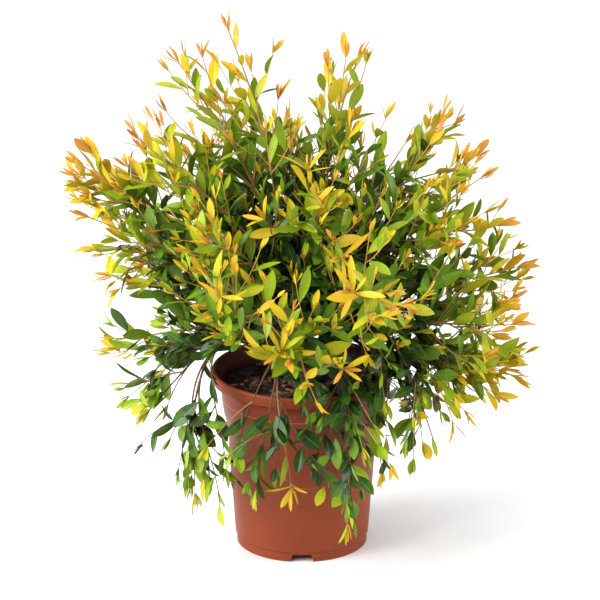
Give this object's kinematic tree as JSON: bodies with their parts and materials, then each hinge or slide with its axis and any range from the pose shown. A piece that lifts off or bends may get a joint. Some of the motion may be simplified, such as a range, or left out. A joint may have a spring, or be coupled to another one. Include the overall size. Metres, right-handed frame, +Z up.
{
  "type": "potted bottlebrush",
  "caption": "Young callistemon shrub with gold-tipped lance-shaped leaves on arching stems, growing full from every side in a round terracotta-coloured nursery pot.",
  "frame": {"origin": "middle of the pot's flat underside, on the pot's axis, at the level it stands on", "axes": "+Z up along the pot's axis; +X to the plant's right as seen from its front; -Y towards the front, where the pot has a foot notch"},
  "size_m": [0.5363, 0.4551, 0.6239],
  "materials": {
    "terracotta": "matt",
    "potting_soil": "matt",
    "bark": "matt",
    "foliage_deep": "satin",
    "foliage_fresh": "satin",
    "foliage_gold": "satin"
  },
  "bodies": {
    "root": {"pot": "terracotta", "soil": "potting_soil", "trunk": "bark", "bough_crest_tall": "bark", "bough_crest_left": "bark", "bough_crest_right": "bark", "bough_crest_back": "bark", "bough_shoulder_left_high": "bark", "bough_shoulder_right_high": "bark", "bough_brow": "bark", "bough_shoulder_left": "bark", "bough_shoulder_right": "bark", "bough_back_left": "bark", "bough_back_right": "bark", "bough_brow_left": "bark", "bough_side_left": "bark", "bough_side_right": "bark", "bough_front_right": "bark", "bough_front_left": "bark", "bough_side_right_front": "bark", "bough_low_back_left": "bark", "bough_low_back_right": "bark", "bough_front_low": "bark", "bough_side_left_low": "bark", "bough_side_right_low": "bark", "bough_weep_left": "bark", "bough_weep_back": "bark", "bough_weep_right": "bark", "bough_weep_front": "bark", "bough_weep_front_left": "bark", "bough_weep_front_right": "bark", "foliage_crest_tall": "foliage_gold", "foliage_crest_left": "foliage_gold", "foliage_crest_right": "foliage_gold", "foliage_crest_back": "foliage_gold", "foliage_shoulder_left_high": "foliage_gold", "foliage_shoulder_right_high": "foliage_gold", "foliage_brow": "foliage_fresh", "foliage_shoulder_left": "foliage_fresh", "foliage_shoulder_right": "foliage_fresh", "foliage_back_left": "foliage_fresh", "foliage_back_right": "foliage_fresh", "foliage_brow_left": "foliage_fresh", "foliage_side_left": "foliage_fresh", "foliage_side_right": "foliage_fresh", "foliage_front_right": "foliage_fresh", "foliage_front_left": "foliage_fresh", "foliage_side_right_front": "foliage_fresh", "foliage_low_back_left": "foliage_fresh", "foliage_low_back_right": "foliage_fresh", "foliage_front_low": "foliage_fresh", "foliage_side_left_low": "foliage_deep", "foliage_side_right_low": "foliage_deep", "foliage_weep_left": "foliage_deep", "foliage_weep_back": "foliage_deep", "foliage_weep_right": "foliage_deep", "foliage_weep_front": "foliage_deep", "foliage_weep_front_left": "foliage_deep", "foliage_weep_front_right": "foliage_deep"}
  },
  "joints": []
}
